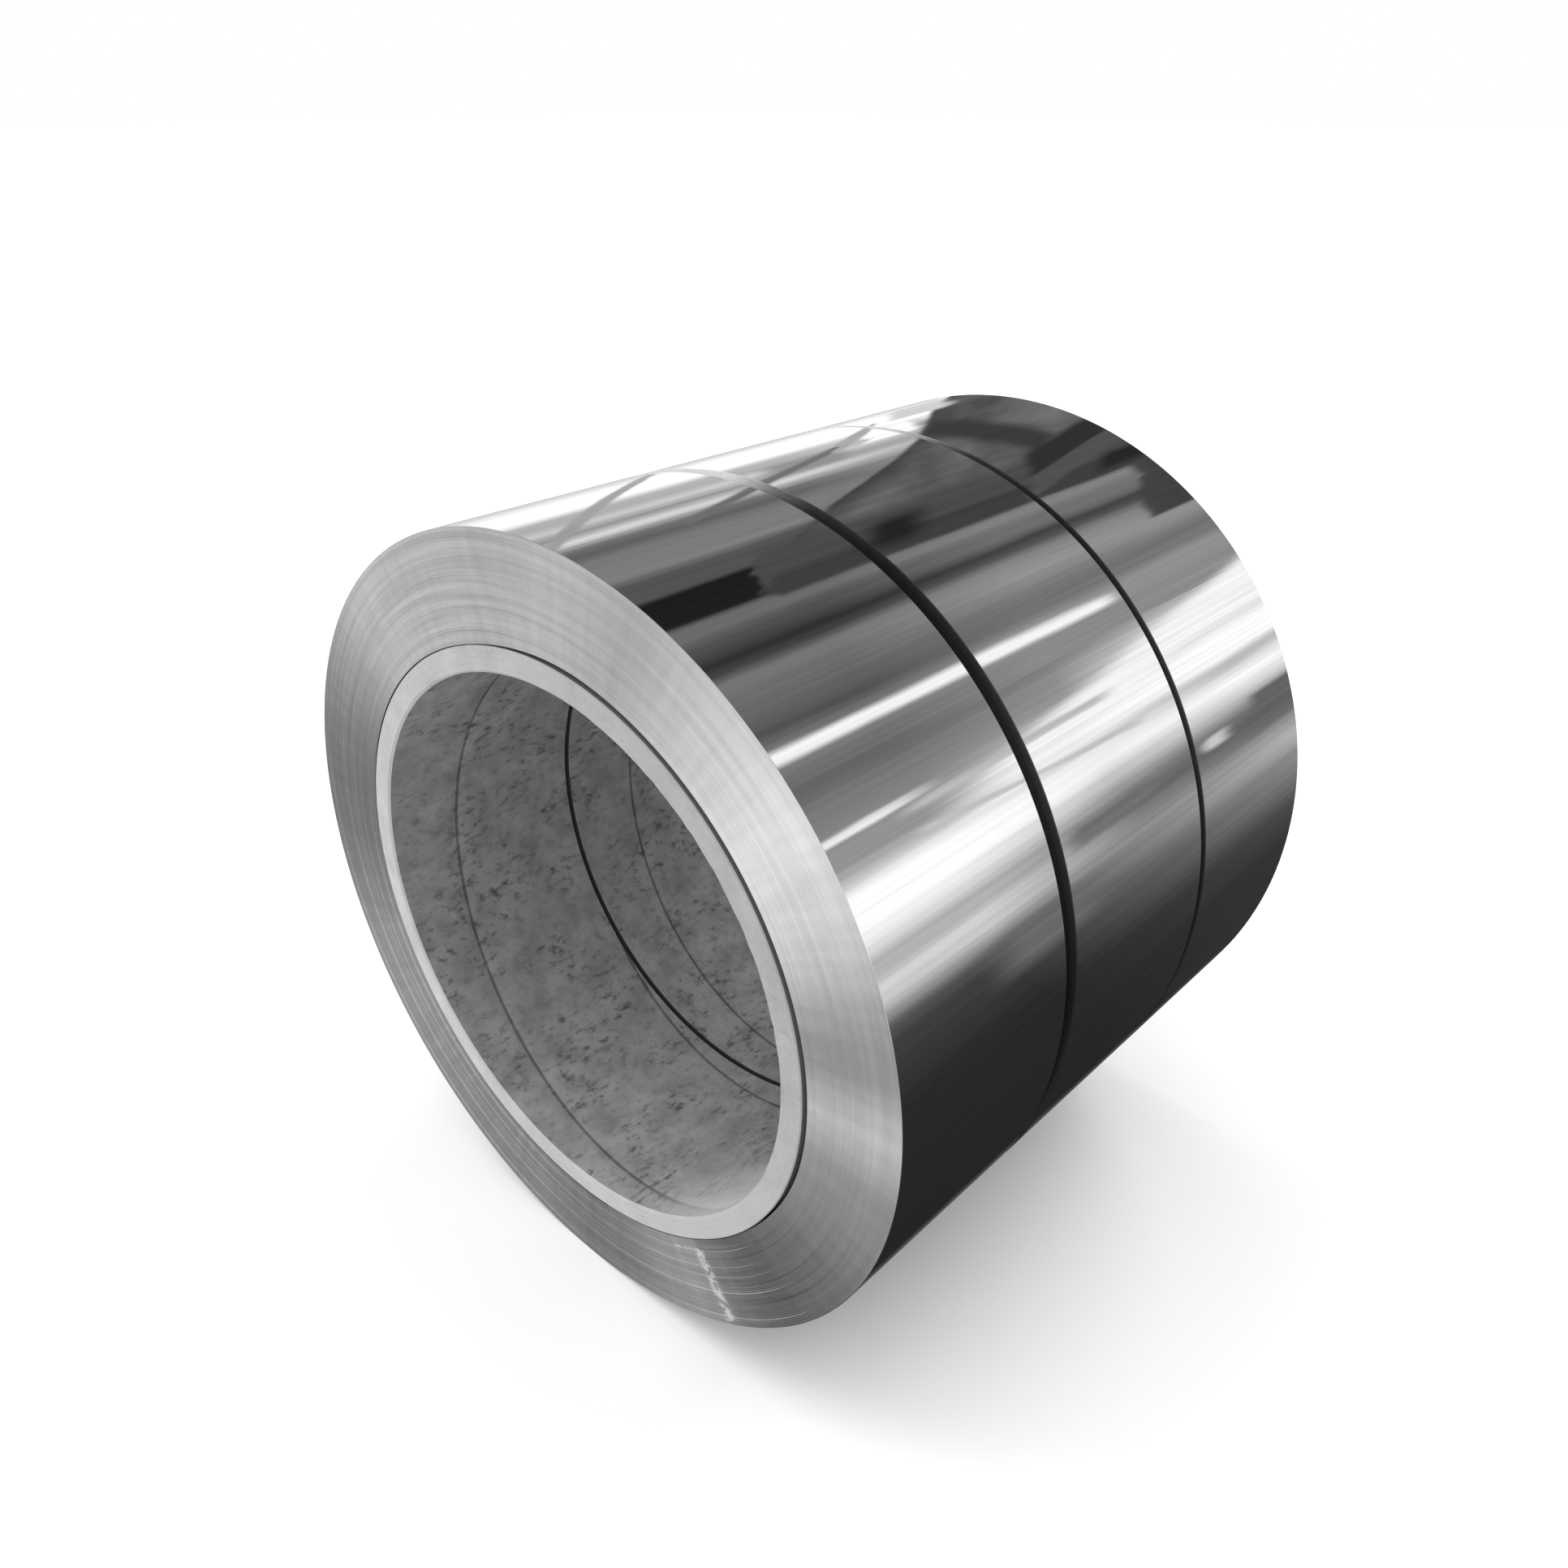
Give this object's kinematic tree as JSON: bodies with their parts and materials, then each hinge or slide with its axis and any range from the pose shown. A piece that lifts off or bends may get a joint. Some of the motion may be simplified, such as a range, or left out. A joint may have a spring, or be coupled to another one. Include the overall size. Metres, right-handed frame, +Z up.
{
  "type": "slit steel coil set",
  "caption": "Set of equal-diameter coils of bright slit steel strip, side by side on fibre cores, lying on its side with the bore open from end to end.",
  "frame": {"origin": "on the floor under the middle of the set, at the bottom centre of its box", "axes": "+Z up, +Y along the coils' axis from the front end to the rear end, +X to the right as seen from the front end"},
  "size_m": [0.7299, 0.623, 0.73],
  "materials": {
    "steel_strip": "mirror-bright rolled strip, slit edges satin",
    "fibre_core": "spiral-wound grey paperboard, matt"
  },
  "bodies": {
    "root": {"strip_coil_front": "steel_strip", "strip_coil_middle": "steel_strip", "strip_coil_rear": "steel_strip", "core_front": "fibre_core", "core_middle": "fibre_core", "core_rear": "fibre_core"}
  },
  "joints": []
}
